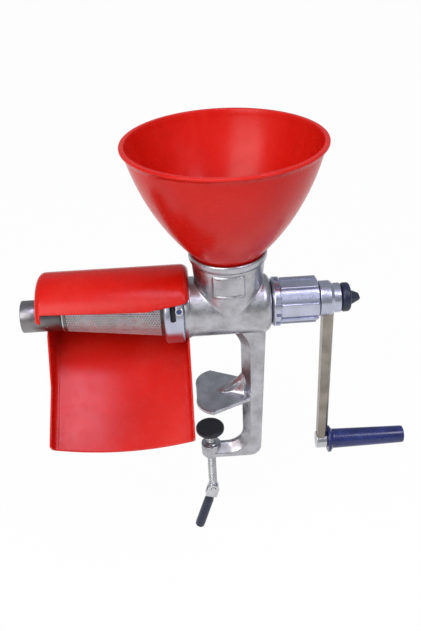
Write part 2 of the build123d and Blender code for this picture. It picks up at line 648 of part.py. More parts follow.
def funnel():
    """Bell-shaped hopper with a rolled lip and a foot in the neck's socket."""
    foot_r = SOCKET_R - LOOSE
    lip_z = FUNNEL_RIM_Z - FUNNEL_LIP_H
    low = (FUNNEL_LOW_R, FUNNEL_LOW_Z)
    belly = (FUNNEL_BELLY_R, FUNNEL_BELLY_Z)
    high = (FUNNEL_RIM_R - FUNNEL_LIP, lip_z)
    centre, radius = arc_centre(low, belly, high)

    def inward(p):
        scale = (radius - FUNNEL_WALL) / radius
        return (centre[0] + (p[0] - centre[0]) * scale, centre[1] + (p[1] - centre[1]) * scale)

    def rz(p):
        return (p[0], 0, p[1])

    in_low, in_belly, in_high = inward(low), inward(belly), inward(high)
    rim = (FUNNEL_RIM_R, FUNNEL_RIM_Z)
    outline = [
        Line(rz((foot_r, FUNNEL_FOOT_Z)), rz((foot_r, FUNNEL_SHOULDER_Z))),
        Line(rz((foot_r, FUNNEL_SHOULDER_Z)), rz(low)),
        ThreePointArc(rz(low), rz(belly), rz(high)),
        Line(rz(high), rz((rim[0], lip_z))),
        Line(rz((rim[0], lip_z)), rz(rim)),
        Line(rz(rim), rz((in_high[0], rim[1]))),
        Line(rz((in_high[0], rim[1])), rz(in_high)),
        ThreePointArc(rz(in_high), rz(in_belly), rz(in_low)),
        Line(rz(in_low), rz((foot_r - FUNNEL_WALL, FUNNEL_SHOULDER_Z + 1))),
        Line(rz((foot_r - FUNNEL_WALL, FUNNEL_SHOULDER_Z + 1)), rz((foot_r - FUNNEL_WALL, FUNNEL_FOOT_Z))),
        Line(rz((foot_r - FUNNEL_WALL, FUNNEL_FOOT_Z)), rz((foot_r, FUNNEL_FOOT_Z))),
    ]
    return revolve(make_face(outline), Axis.Z)


def splash_guard():
    """Half-round cover over the strainer, its end walls notched for the pipe and the bead."""
    x1 = BEAD_X
    drum = fillet(bar_x(GUARD_X0, x1, GUARD_R).edges().filter_by(GeomType.CIRCLE), GUARD_CORNER)
    inner = bar_x(GUARD_X0 + GUARD_WALL, x1 - GUARD_WALL, GUARD_R - GUARD_WALL)
    inner = fillet(inner.edges().filter_by(GeomType.CIRCLE), GUARD_CORNER - GUARD_WALL)
    shell = drum - inner
    far = GUARD_R + 20
    under = block(GUARD_X0 - 1, x1 + 1, 0, far, -far, GUARD_BACK_Z)
    front = Polyline([(GUARD_X0 - 1, 0, -far), (x1 + 1, 0, -far), (x1 + 1, 0, GUARD_FRONT_RIGHT_Z),
                      (GUARD_FRONT_MID_X, 0, GUARD_FRONT_MID_Z), (GUARD_X0 + TAB_W, 0, GUARD_FRONT_LEFT_Z),
                      (GUARD_X0 + TAB_W, 0, TAB_LOW_Z), (GUARD_X0 - 1, 0, TAB_LOW_Z)], close=True)
    front = extrude(make_face(front), far, dir=(0, -1, 0))
    left_notch = bar_x(GUARD_X0 - 1, GUARD_X0 + 12, PIPE_R + LOOSE)
    left_notch = left_notch + block(GUARD_X0 - 1, GUARD_X0 + 12, -PIPE_R - LOOSE, PIPE_R + LOOSE, -far, 0)
    right_notch = bar_x(x1 - 12, x1 + 1, BEAD_R + LOOSE)
    return shell - under - front - left_notch - right_notch


def juice_chute():
    """Sloped tray with low sides, hung under the strainer by its end walls."""
    s = radians(CHUTE_SLOPE)
    x0, x1, w = CHUTE_X0, BEAD_X - CHUTE_INSET, CHUTE_WALL
    mid = (x0 + x1) / 2
    lay = Plane(origin=(0, 0, floor_z(0)), x_dir=(1, 0, 0), z_dir=(0, -cos(s), -sin(s)))
    c = CHUTE_CORNER
    section = [
        Line((x0, CHUTE_SIDE), (x0, c - w)),
        ThreePointArc((x0, c - w), (x0 + c * 0.293, -w + c * 0.1), (x0 + c, -w - 0.4)),
        ThreePointArc((x0 + c, -w - 0.4), (mid, -CHUTE_SAG - w), (x1 - c, -w - 0.4)),
        ThreePointArc((x1 - c, -w - 0.4), (x1 - c * 0.293, -w + c * 0.1), (x1, c - w)),
        Line((x1, c - w), (x1, CHUTE_SIDE)),
        Line((x1, CHUTE_SIDE), (x1 - w, CHUTE_SIDE)),
        Line((x1 - w, CHUTE_SIDE), (x1 - w, c)),
        ThreePointArc((x1 - w, c), (x1 - w - c * 0.293, c * 0.2), (x1 - w - c, 0)),
        ThreePointArc((x1 - w - c, 0), (mid, -CHUTE_SAG), (x0 + w + c, 0)),
        ThreePointArc((x0 + w + c, 0), (x0 + w + c * 0.293, c * 0.2), (x0 + w, c)),
        Line((x0 + w, c), (x0 + w, CHUTE_SIDE)),
        Line((x0 + w, CHUTE_SIDE), (x0, CHUTE_SIDE)),
    ]
    up = (CHUTE_BACK_Y + 12) / cos(s)
    down = -CHUTE_LIP_Y / cos(s)
    tray = lay * Pos(0, 0, -up) * extrude(make_face(section), up + down + CHUTE_LIP_BULGE)
    tray = tray & block(x0 - 1, x1 + 1, CHUTE_LIP_Y - 20, CHUTE_BACK_Y, -400, 100)
    lip = [
        ThreePointArc((x0 - 1, -down), (mid, -down - CHUTE_LIP_BULGE), (x1 + 1, -down)),
        Line((x1 + 1, -down), (x1 + 1, up + 50)),
        Line((x1 + 1, up + 50), (x0 - 1, up + 50)),
        Line((x0 - 1, up + 50), (x0 - 1, -down)),
    ]
    floor_plane = Plane(origin=(0, 0, floor_z(0)), x_dir=(1, 0, 0), z_dir=(0, -sin(s), cos(s)))
    tray = tray & (floor_plane * extrude(make_face(lip), 80, both=True))
    deep = CHUTE_SAG + w + 2
    back = block(x0, x1, CHUTE_BACK_Y - w, CHUTE_BACK_Y, floor_z(CHUTE_BACK_Y) - deep, CHUTE_BACK_TOP_Z)
    under = (lay * Pos(mid, 0, 0) * Pos(0, -CHUTE_SAG - w - 50, 0) * Box(x1 - x0 + 10, 100, 900))
    front_y = -GUARD_R
    cheek = Polyline([(0, CHUTE_BACK_Y, CHUTE_BACK_TOP_Z), (0, CHUTE_BACK_Y, floor_z(CHUTE_BACK_Y) - 2),
                      (0, front_y, floor_z(front_y) - 2), (0, front_y, floor_z(front_y) + CHUTE_SIDE),
                      (0, -PIPE_R, -PIPE_R), (0, 0, CHUTE_BACK_TOP_Z)], close=True)
    cheek = make_face(cheek)
    left = Pos(x0, 0, 0) * extrude(cheek, w, dir=(1, 0, 0)) - bar_x(x0 - 1, x0 + w + 1, PIPE_R + FIT)
    right = Pos(x1 - w, 0, 0) * extrude(cheek, w, dir=(1, 0, 0))
    return tray + (back - under) + left + right - bar_x(x1 - w - 1, x1 + 1, BEAD_R + FIT)


def clamp_pad():
    """Round pad that presses up against the table."""
    pad = bar_z(PAD_TOP_Z - PAD_T, PAD_TOP_Z, PAD_R, SCREW_X)
    pad = fillet(pad.edges().filter_by(GeomType.CIRCLE), PAD_ROUND)
    return pad - bar_z(PAD_TOP_Z - PAD_T - 1, PAD_TOP_Z - PAD_SKIN, SCREW_R + FIT, SCREW_X)


def pad_cup():
    """Metal cup under the pad that holds the screw's end."""
    top = PAD_TOP_Z - PAD_T
    cup = turned_z([(SCREW_R + FIT, top - CUP_T), (CUP_R - 1.5, top - CUP_T), (CUP_R, top - CUP_T + 1.5),
                    (CUP_R, top), (SCREW_R + FIT, top)], SCREW_X)
    return cup


def clamp_screw():
    """Screw with a flat tongue below for the folding handle."""
    top = PAD_TOP_Z - PAD_SKIN - LOOSE
    screw = bar_z(SCREW_LOW_Z, top, SCREW_R, SCREW_X)
    tongue = block(SCREW_X - TONGUE_R, SCREW_X + TONGUE_R, -TONGUE_HALF, TONGUE_HALF,
                   PIVOT_Z, SCREW_LOW_Z + 4)
    end = Pos(SCREW_X, 0, PIVOT_Z) * Rot(90, 0, 0) * Cylinder(TONGUE_R, 2 * TONGUE_HALF)
    shoulder = turned_z([(0, SCREW_LOW_Z - 2), (TONGUE_R * 0.75, SCREW_LOW_Z - 2), (SCREW_R, SCREW_LOW_Z + 4),
                         (0, SCREW_LOW_Z + 4)], SCREW_X)
    hole = Pos(SCREW_X, 0, PIVOT_Z) * Rot(90, 0, 0) * Cylinder(RIVET_R, 4 * TONGUE_HALF)
    return screw + shoulder + tongue + end - hole


def pivot_rivet():
    """Rivet that the folding handle turns on."""
    reach = TONGUE_HALF + LOOSE + CLEVIS_EAR + LOOSE
    at = Pos(SCREW_X, 0, PIVOT_Z) * Rot(90, 0, 0)
    rivet = at * Cylinder(RIVET_R, 2 * reach)
    head = Cylinder(RIVET_HEAD_R, RIVET_HEAD_T)
    for side in (1, -1):
        rivet = rivet + at * Pos(0, 0, side * (reach + RIVET_HEAD_T / 2)) * head
    return rivet


def lean(shape):
    """Hangs a handle piece, drawn straight down from the origin, at the pivot with its rest lean."""
    return Pos(SCREW_X, 0, PIVOT_Z) * Rot(0, HANDLE_LEAN, 0) * shape


def handle_clevis():
    """Forked end of the handle, with the rod that the sleeve sits on."""
    gap = TONGUE_HALF + LOOSE
    half = gap + CLEVIS_EAR
    body = block(-CLEVIS_HALF_W, CLEVIS_HALF_W, -half, half, -CLEVIS_END, 0)
    body = body + Rot(90, 0, 0) * Cylinder(CLEVIS_TOP, 2 * half)
    slot = block(-CLEVIS_HALF_W - 1, CLEVIS_HALF_W + 1, -gap, gap, -TONGUE_R - 2.2, CLEVIS_TOP + 1)
    body = body - slot - Rot(90, 0, 0) * Cylinder(RIVET_R + FIT, 4 * half)
    rod = bar_z(-HANDLE_END + 8, -CLEVIS_END + 1, HANDLE_NECK_R * 0.6)
    return lean(body + rod)


def handle_sleeve():
    """Dark sleeve of the folding handle."""
    sleeve = turned_z([(0, -HANDLE_END), (HANDLE_R, -HANDLE_END), (HANDLE_R, -CLEVIS_END - 5),
                       (HANDLE_NECK_R, -CLEVIS_END), (0, -CLEVIS_END)])
    sleeve = fillet(sleeve.edges().filter_by(GeomType.CIRCLE).sort_by(Axis.Z)[0], HANDLE_ROUND)
    return lean(sleeve - bar_z(-HANDLE_END + 8, 0, HANDLE_NECK_R * 0.6))


PARTS = {
    "body_casting": body_casting, "shaft_bush": shaft_bush, "rear_seal": rear_seal,
    "bearing_ring": bearing_ring, "fluted_sleeve": fluted_sleeve, "strainer_cone": strainer_cone,
    "outlet_pipe": outlet_pipe, "strainer_gasket": strainer_gasket, "barrel_studs": barrel_studs,
    "juice_chute": juice_chute, "bayonet_ring": bayonet_ring, "ring_lock_screw": ring_lock_screw,
    "auger": auger, "auger_shaft": auger_shaft, "thrust_washer": thrust_washer,
    "hub_washer": hub_washer, "crank_hub": crank_hub, "crank_arm": crank_arm, "grip_pin": grip_pin,
    "grip": grip, "thumb_screw": thumb_screw, "thumb_stud": thumb_stud, "funnel": funnel,
    "splash_guard": splash_guard, "clamp_pad": clamp_pad, "pad_cup": pad_cup,
    "clamp_screw": clamp_screw, "pivot_rivet": pivot_rivet, "handle_clevis": handle_clevis,
    "handle_sleeve": handle_sleeve,
}

os.makedirs("parts", exist_ok=True)
for name, make in PARTS.items():
    shape = make()
    solids = shape if isinstance(shape, list) else shape.solids()
    placed = [Pos(0, 0, AXIS_H) * s for s in solids]
    export_step(placed[0] if len(placed) == 1 else Compound(children=placed), f"parts/{name}.step")
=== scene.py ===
import json
from math import atan2, ceil, cos, pi, radians, sin, sqrt, tan

import bmesh
import bpy
from mathutils import Euler, Matrix, Vector


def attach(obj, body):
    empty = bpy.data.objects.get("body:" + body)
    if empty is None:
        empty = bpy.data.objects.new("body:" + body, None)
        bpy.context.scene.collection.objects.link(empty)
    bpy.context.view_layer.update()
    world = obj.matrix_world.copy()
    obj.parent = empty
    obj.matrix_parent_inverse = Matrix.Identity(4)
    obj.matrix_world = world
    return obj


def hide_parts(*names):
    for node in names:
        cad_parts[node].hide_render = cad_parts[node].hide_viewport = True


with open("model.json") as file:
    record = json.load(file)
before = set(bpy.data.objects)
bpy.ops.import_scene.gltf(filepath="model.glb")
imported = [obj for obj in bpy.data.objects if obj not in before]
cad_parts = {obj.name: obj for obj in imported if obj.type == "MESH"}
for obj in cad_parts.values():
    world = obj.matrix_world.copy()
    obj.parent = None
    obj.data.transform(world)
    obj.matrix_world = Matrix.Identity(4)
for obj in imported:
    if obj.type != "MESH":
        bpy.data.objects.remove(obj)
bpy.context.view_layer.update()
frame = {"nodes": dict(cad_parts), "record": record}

MM = 0.001
AXIS_Z = 134.0          # barrel axis above the origin, mm, as all sizes below
SCREW_X = -31.5         # clamp screw axis
PAD_TOP_Z = AXIS_Z - 189.0
PIVOT_Z = AXIS_Z - 302.0    # folding handle's rivet
HANDLE_LEAN = 17.3          # degrees from straight down, at rest
CRANK_R = 225.0
RING_R = 42.4               # lock ring's outer radius
SUBSTEPS = 10               # points in a quarter turn of a rounded corner

# camera, fitted to the photograph's ellipses
PHOTO_H = 631
FOCAL_PX = 740.0
PITCH, YAW, ROLL = 32.3, 1.3, 2.9   # degrees
TARGET = (-23.3, 0.0, -14.6)    # from the barrel axis below the neck, mm
DISTANCE = 896.0
SENSOR = 36.0

# stage
FLOOR_Z = -0.262            # metres, below the folding handle's end
FLOOR_WHITE = 0.97          # share of plain white in what a seen floor shows
WORLD_STRENGTH = 0.42
LIGHTS = [
    # name, place, aim, width, height, all in metres, then watts and colour
    ("window", (-1.0, -1.4, 1.4), (-0.05, 0, 0.1), 1.5, 1.5, 27, (1.0, 0.98, 0.96)),
    ("fill", (0.92, -0.76, 1.40), (0, 0, 0.15), 0.5, 0.5, 8, (0.86, 0.84, 1.0)),
    ("overhead", (0.02, -0.46, 1.35), (-0.12, -0.05, 0.1), 0.34, 0.42, 5, (0.78, 0.76, 1.0)),
]


# ---------------------------------------------------------------- meshes

def link(name, mesh, body, material, replaces=(), smooth=True):
    """Puts a mesh in the scene, riding on a body, with its finish."""
    obj = bpy.data.objects.new(name, mesh)
    bpy.context.scene.collection.objects.link(obj)
    mesh.materials.clear()
    mesh.materials.append(material)
    for poly in mesh.polygons:
        poly.use_smooth = smooth
    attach(obj, body)
    if replaces:
        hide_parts(*replaces)
    return obj


def from_bmesh(name, bm):
    """Mesh datablock from a bmesh, with outward normals."""
    bmesh.ops.recalc_face_normals(bm, faces=bm.faces)
    mesh = bpy.data.meshes.new(name)
    bm.to_mesh(mesh)
    bm.free()
    return mesh


def bridge(bm, low, high):
    """Faces between two closed rings with as many vertices."""
    count = len(low)
    for k in range(count):
        n = (k + 1) % count
        bm.faces.new((low[k], low[n], high[n], high[k]))


def capped_loft(bm, rings):
    """Faces along a row of rings and across both ends."""
    for low, high in zip(rings, rings[1:]):
        bridge(bm, low, high)
    bm.faces.new(list(reversed(rings[0])))
    bm.faces.new(rings[-1])


def apply_modifiers(obj):
    """Replaces an object's mesh by its evaluated one."""
    graph = bpy.context.evaluated_depsgraph_get()
    mesh = bpy.data.meshes.new_from_object(obj.evaluated_get(graph))
    obj.modifiers.clear()
    obj.data = mesh


def rounded(corners):
    """Closed profile with arcs at its corners: (a, b, radius) in mm, flat list of (a, b)."""
    out = []
    n = len(corners)
    for i, (a, b, r) in enumerate(corners):
        here = Vector((a, b))
        before = Vector(corners[i - 1][:2])
        after = Vector(corners[(i + 1) % n][:2])
        u, v = (before - here), (after - here)
        if r <= 0 or u.length < 1e-6 or v.length < 1e-6:
            out.append((a, b))
            continue
        half = u.angle(v) / 2
        cut = min(r / tan(half), u.length * 0.49, v.length * 0.49)
        radius = cut * tan(half)
        u.normalize()
        v.normalize()
        centre = here + (u + v).normalized() * (radius / sin(half))
        start, end = here + u * cut - centre, here + v * cut - centre
        sweep = atan2(start.x * end.y - start.y * end.x, start.dot(end))
        steps = max(2, ceil(abs(sweep) / (pi / 2) * SUBSTEPS))
        for k in range(steps + 1):
            t = sweep * k / steps
            p = Vector((start.x * cos(t) - start.y * sin(t), start.x * sin(t) + start.y * cos(t)))
            out.append((centre.x + p.x, centre.y + p.y))
    return out


def lathe(name, profile, segments=96, along="X", centre=(0, 0)):
    """Closed ring from (along, radius) points in mm. centre is (y, z) for X and (x, y) for Z."""
    bm = bmesh.new()
    rings = []
    for a, r in profile:
        ring = []
        for k in range(segments):
            t = 2 * pi * k / segments
            if along == "X":
                co = (a, centre[0] + r * cos(t), centre[1] + r * sin(t))
            else:
                co = (centre[0] + r * cos(t), centre[1] + r * sin(t), a)
            ring.append(bm.verts.new(Vector(co) * MM))
        rings.append(ring)
    for i, low in enumerate(rings):
        bridge(bm, low, rings[(i + 1) % len(rings)])
    bmesh.ops.remove_doubles(bm, verts=bm.verts, dist=1e-7)
    return from_bmesh(name, bm)


def solid_lathe(name, corners, **options):
    """Lathe of rounded corners given as (along, radius, corner radius)."""
    return lathe(name, rounded(corners), **options)


# the softening grid is turned, so that slanted edges don't come out in steps
GRID_TURN = Euler((radians(27), radians(38), radians(19))).to_matrix().to_4x4()


def softened(node, voxel, rounds, keep=0.5, strength=0.5, extra=()):
    """Copy of a CAD node, with extra meshes grown on, edges softened as a casting's are."""
    mesh = frame["nodes"][node].data.copy()
    bm = bmesh.new()
    bm.from_mesh(mesh)
    for more in extra:
        bm.from_mesh(more)
    bmesh.ops.remove_doubles(bm, verts=bm.verts, dist=2e-6)
    bm.to_mesh(mesh)
    bm.free()
    mesh.transform(GRID_TURN)
    obj = bpy.data.objects.new("soften", mesh)
    bpy.context.scene.collection.objects.link(obj)
    remesh = obj.modifiers.new("remesh", "REMESH")
    remesh.mode = "VOXEL"
    remesh.voxel_size = voxel * MM
    remesh.adaptivity = 0.0
    smooth = obj.modifiers.new("smooth", "SMOOTH")
    smooth.factor = strength
    smooth.iterations = rounds
    if keep < 1:
        thin = obj.modifiers.new("thin", "DECIMATE")
        thin.ratio = keep
    apply_modifiers(obj)
    result = obj.data
    result.transform(GRID_TURN.inverted())
    bpy.data.objects.remove(obj)
    return result


# ---------------------------------------------------------------- materials

def new_material(name, color, metallic, rough):
    """Principled material with its plain values set, and a small node helper."""
    mat = bpy.data.materials.new(name)
    mat.use_nodes = True
    tree = mat.node_tree
    shader = tree.nodes["Principled BSDF"]
    shader.inputs["Base Color"].default_value = (*color, 1)
    shader.inputs["Metallic"].default_value = metallic
    shader.inputs["Roughness"].default_value = rough
    return mat, tree, shader


def noise_node(tree, scale, detail=4, rough=0.55, stretch=(1, 1, 1), distortion=0.0):
    """Noise in object space. stretch squeezes it along the axes."""
    coord = tree.nodes.new("ShaderNodeTexCoord")
    place = tree.nodes.new("ShaderNodeMapping")
    place.inputs["Scale"].default_value = stretch
    tex = tree.nodes.new("ShaderNodeTexNoise")
    tex.inputs["Scale"].default_value = scale
    tex.inputs["Detail"].default_value = detail
    tex.inputs["Roughness"].default_value = rough
    tex.inputs["Distortion"].default_value = distortion
    tree.links.new(coord.outputs["Object"], place.inputs["Vector"])
    tree.links.new(place.outputs["Vector"], tex.inputs["Vector"])
    return tex.outputs["Fac"]


def ramp(tree, fac, stops):
    """Colour ramp from (position, colour) stops."""
    node = tree.nodes.new("ShaderNodeValToRGB")
    elements = node.color_ramp.elements
    while len(elements) < len(stops):
        elements.new(0.5)
    for element, (position, color) in zip(elements, stops):
        element.position = position
        element.color = (*color, 1)
    tree.links.new(fac, node.inputs["Fac"])
    return node.outputs["Color"]


def span(tree, fac, low, high):
    """Maps a noise value to low..high."""
    node = tree.nodes.new("ShaderNodeMapRange")
    node.inputs["From Min"].default_value = 0.3
    node.inputs["From Max"].default_value = 0.7
    node.inputs["To Min"].default_value = low
    node.inputs["To Max"].default_value = high
    tree.links.new(fac, node.inputs["Value"])
    return node.outputs["Result"]


def bump(tree, shader, height, strength, distance, chain=None):
    """Bump from a height value. Returns the normal so that a second one can follow."""
    node = tree.nodes.new("ShaderNodeBump")
    node.inputs["Strength"].default_value = strength
    node.inputs["Distance"].default_value = distance
    tree.links.new(height, node.inputs["Height"])
    if chain is not None:
        tree.links.new(chain, node.inputs["Normal"])
    tree.links.new(node.outputs["Normal"], shader.inputs["Normal"])
    return node.outputs["Normal"]


def cast_metal(name, light, dark, rough_low, rough_high, grain, pits):
    """Tinned casting: mottled silver with a grainy skin and shallow dimples."""
    mat, tree, shader = new_material(name, light, 1.0, rough_low)
    patches = noise_node(tree, 55, detail=6, rough=0.6)
    tree.links.new(ramp(tree, patches, [(0.34, dark), (0.62, light)]), shader.inputs["Base Color"])
    cloud = noise_node(tree, 160, detail=5, rough=0.65)
    tree.links.new(span(tree, cloud, rough_low, rough_high), shader.inputs["Roughness"])
    first = bump(tree, shader, noise_node(tree, 900, detail=3), grain, 0.00025)
    bump(tree, shader, noise_node(tree, 240, detail=2), pits, 0.0006, first)
    return mat


def sheet_metal(name, light, dark, rough_low, rough_high, stretch=(0.06, 1, 1), grain=0.06):
    """Rolled or turned steel with fine marks along one axis."""
    mat, tree, shader = new_material(name, light, 1.0, rough_low)
    tone = noise_node(tree, 40, detail=5)
    tree.links.new(ramp(tree, tone, [(0.32, dark), (0.66, light)]), shader.inputs["Base Color"])
    marks = noise_node(tree, 1400, detail=3, stretch=stretch)
    tree.links.new(span(tree, marks, rough_low, rough_high), shader.inputs["Roughness"])
    bump(tree, shader, marks, grain, 0.0001)
    return mat


def red_plastic():
    """Moulded red plastic with pale flow marks and light scuffs."""
    base, deep, pale = (0.62, 0.008, 0.003), (0.53, 0.006, 0.002), (0.66, 0.020, 0.013)
    mat, tree, shader = new_material("red_plastic", base, 0.0, 0.3)
    flow = noise_node(tree, 9, detail=7, rough=0.62, stretch=(1, 1, 0.5), distortion=0.8)
    tree.links.new(ramp(tree, flow, [(0.30, deep), (0.50, base), (0.70, pale)]), shader.inputs["Base Color"])
    scuffs = noise_node(tree, 70, detail=8, rough=0.7)
    tree.links.new(span(tree, scuffs, 0.20, 0.32), shader.inputs["Roughness"])
    first = bump(tree, shader, noise_node(tree, 26, detail=3), 0.10, 0.002)
    bump(tree, shader, noise_node(tree, 1300, detail=2), 0.04, 0.0001, first)
    shader.inputs["IOR"].default_value = 1.36
    shader.inputs["Specular IOR Level"].default_value = 0.40
    return mat


def dark_plastic(name, color, rough):
    """Dark moulded plastic with a fine eggshell surface and dull rubbed patches."""
    mat, tree, shader = new_material(name, color, 0.0, rough)
    wear = noise_node(tree, 60, detail=6, rough=0.65)
    worn = tuple(min(1, c * 1.9 + 0.004) for c in color)
    tree.links.new(ramp(tree, wear, [(0.40, color), (0.72, worn)]), shader.inputs["Base Color"])
    tree.links.new(span(tree, wear, rough, rough + 0.14), shader.inputs["Roughness"])
    bump(tree, shader, noise_node(tree, 1500, detail=2), 0.12, 0.0001)
    return mat


CAST = cast_metal("cast_body", (0.52, 0.52, 0.56), (0.36, 0.355, 0.375), 0.24, 0.40, 0.22, 0.14)
DIE_CAST = cast_metal("cast_ring", (0.54, 0.56, 0.68), (0.46, 0.48, 0.58), 0.26, 0.32, 0.01, 0.005)
STEEL = sheet_metal("steel", (0.62, 0.63, 0.65), (0.46, 0.46, 0.47), 0.20, 0.36, stretch=(1, 1, 0.1))
PIPE_STEEL = sheet_metal("strainer_steel", (0.30, 0.29, 0.30), (0.17, 0.16, 0.16), 0.30, 0.44)
MESH_STEEL = sheet_metal("mesh_steel", (0.72, 0.71, 0.74), (0.56, 0.55, 0.58), 0.24, 0.36)
SOLDER = sheet_metal("solder", (0.86, 0.86, 0.86), (0.66, 0.66, 0.66), 0.30, 0.40)
ARM_STEEL = sheet_metal("arm_steel", (0.36, 0.32, 0.28), (0.22, 0.20, 0.17), 0.26, 0.42,
                        stretch=(1, 1, 0.08))
RED = red_plastic()
BLACK = dark_plastic("black_plastic", (0.006, 0.009, 0.030), 0.28)
NAVY = dark_plastic("navy_plastic", (0.010, 0.016, 0.085), 0.18)
PAD_BLACK = dark_plastic("pad_black", (0.004, 0.004, 0.009), 0.34)
RUBBER = dark_plastic("rubber", (0.02, 0.02, 0.02), 0.55)
# the auger's white plastic is given a dark grey: painted shade for the strainer's inside, seen through its
# holes
WHITE_PLASTIC_SHADED = dark_plastic("white_plastic", (0.16, 0.16, 0.17), 0.50)
BRONZE = sheet_metal("bronze", (0.55, 0.40, 0.22), (0.38, 0.27, 0.15), 0.3, 0.45)
# painted shade: dark navy for the hollow of the ring screw's socket
SOCKET_SHADE_DARK = dark_plastic("screw_socket", (0.02, 0.04, 0.11), 0.30)

NODE_FINISH = {
    "cast_body": CAST, "cast_ring": DIE_CAST, "strainer_steel": PIPE_STEEL, "steel": STEEL,
    "arm_steel": ARM_STEEL, "red_plastic": RED, "black_plastic": BLACK, "white_plastic": WHITE_PLASTIC_SHADED,
    "bronze": BRONZE, "rubber": RUBBER,
}


def finish_cad_nodes():
    """Every CAD node gets the material of its slot."""
    slots = {part["node"]: part["material_slot"] for part in frame["record"]["subparts"]}
    for name, obj in frame["nodes"].items():
        obj.data.materials.clear()
        obj.data.materials.append(NODE_FINISH[slots[name]])


# ---------------------------------------------------------------- pieces

SOFT_PIECES = [
    # node, body, voxel mm, smoothing rounds, share of faces kept, material, slot
    ("body_casting", "root", 0.85, 6, 0.45, CAST, "cast_body"),
    ("bayonet_ring", "lock_ring", 0.45, 4, 0.35, DIE_CAST, "cast_ring"),
    ("thumb_screw", "thumb_screw", 0.40, 4, 0.4, BLACK, "black_plastic"),
    ("handle_clevis", "handle", 0.4, 4, 0.5, STEEL, "steel"),
    ("splash_guard", "guard", 0.7, 5, 0.4, RED, "red_plastic"),
    ("juice_chute", "root", 0.7, 5, 0.35, RED, "red_plastic"),
]


def softened_pieces():
    """Castings and mouldings with the round edges the real ones have."""
    for node, body, voxel, rounds, keep, material, slot in SOFT_PIECES:
        grown = [jaw_web()] if node == "body_casting" else []
        mesh = softened(node, voxel, rounds, keep, extra=grown)
        link(node + "_piece", mesh, body, material, [node])
    bare_frame()


WEB_X = (-27.0, 15.0)       # jaw web, from the plate's middle to the leg
WEB_H = 30.0
WEB_HALF = (3.0, 19.0)
JAW_TOP = AXIS_Z - 129.0


def jaw_web():
    """Saddle that sweeps from the jaw's top up into the leg."""
    bm = bmesh.new()
    stations, across, depth = 20, 16, 2.5
    rows = []
    for i in range(stations + 1):
        t = i / stations
        x = WEB_X[0] + (WEB_X[1] - WEB_X[0]) * t
        high = WEB_H * t ** 2.1
        half = WEB_HALF[0] + (WEB_HALF[1] - WEB_HALF[0]) * t ** 1.5
        row = []
        for k in range(across + 1):
            v = 2 * k / across - 1
            z = JAW_TOP + high * (0.5 + 0.5 * cos(pi * v)) ** 1.6
            row.append(bm.verts.new(Vector((x, half * v, z)) * MM))
        for k in range(across, -1, -1):
            v = 2 * k / across - 1
            row.append(bm.verts.new(Vector((x, half * v, JAW_TOP - depth)) * MM))
        rows.append(row)
    capped_loft(bm, rows)
    return from_bmesh("web", bm)


NECK = ((0.0, 35.0), (34.0, 40.2), (59.7, 42.3))     # height and radius
PANEL = (-20.0, 16.0, 31.5, 59.0)                    # left, right, low, high
PANEL_LINE, PANEL_PROUD = 2.3, 1.3


def neck_radius(z):
    low, mid, high = NECK
    a, b = (low, mid) if z < mid[0] else (mid, high)
    return a[1] + (b[1] - a[1]) * (z - a[0]) / (b[0] - a[0])


def bare_frame():
    """Raised rectangle on the neck, with a soft ridge and an empty field."""
    left, right, low, high = PANEL
    half = PANEL_LINE / 2
    left, right, low, high = left + half, right - half, low + half, high - half
    bm = bmesh.new()
    # across and up, in shares of PANEL_LINE and PANEL_PROUD
    ridge = ((-0.62, -0.9), (-0.52, 0.55), (-0.34, 0.95), (0.0, 1.05),
             (0.34, 0.95), (0.52, 0.55), (0.62, -0.9))
    path = []
    steps = 14
    for k in range(steps):
        path.append((left + (right - left) * k / steps, low, 0, -1))
    for k in range(steps):
        path.append((right, low + (high - low) * k / steps, 1, 0))
    for k in range(steps):
        path.append((right + (left - right) * k / steps, high, 0, 1))
    for k in range(steps):
        path.append((left, high + (low - high) * k / steps, -1, 0))
    loops = []
    for i, (x, z, ox, oz) in enumerate(path):
        if i % steps == 0:
            before = path[i - 1]
            ox, oz = ox + before[2], oz + before[3]
        loop = []
        for off, up in ridge:
            px, pz = x + ox * off * PANEL_LINE, z + oz * off * PANEL_LINE
            turn = px / neck_radius(pz)
            r = neck_radius(pz) + up * PANEL_PROUD
            loop.append(bm.verts.new(Vector((r * sin(turn), -r * cos(turn), AXIS_Z + pz)) * MM))
        loops.append(loop)
    for i, loop in enumerate(loops):
        after = loops[(i + 1) % len(loops)]
        for k in range(len(ridge) - 1):
            bm.faces.new((loop[k], loop[k + 1], after[k + 1], after[k]))
    link("neck_frame", from_bmesh("neck_frame", bm), "root", CAST)


def shaped_ring(name, stations, angles, centre):
    """Closed ring about X from (x, radius function of the angle) stations, mm."""
    bm = bmesh.new()
    rings = []
    for x, radius in stations:
        ring = []
        for t in angles:
            r = radius(t)
            ring.append(bm.verts.new(Vector((x, centre[0] + r * cos(t), centre[1] + r * sin(t))) * MM))
        rings.append(ring)
    for i, low in enumerate(rings):
        bridge(bm, low, rings[(i + 1) % len(rings)])
    return from_bmesh(name, bm)


def flat_shaded_edges(obj, degrees):
    """Keeps edges sharper than this angle crisp."""
    bm = bmesh.new()
    bm.from_mesh(obj.data)
    for edge in bm.edges:
        if len(edge.link_faces) == 2 and edge.calc_face_angle() > radians(degrees):
            edge.smooth = False
    bm.to_mesh(obj.data)
    bm.free()


SLEEVE = (60.4, 105.4)
SLEEVE_FLAT, SLEEVE_RIB, SLEEVE_OUT, SLEEVE_VALLEY = 25.2, 1.7, 28.9, 25.7
SLEEVE_TURN = 18.0


def sleeve_radius(t):
    step = pi / 4
    local = (pi - t - radians(SLEEVE_TURN) + step / 2) % step - step / 2
    away = abs(local) * SLEEVE_OUT
    if away < SLEEVE_RIB:
        return SLEEVE_OUT - 0.8 * (away / SLEEVE_RIB) ** 2
    return min(SLEEVE_FLAT / cos(step / 2 - abs(local)), SLEEVE_VALLEY)


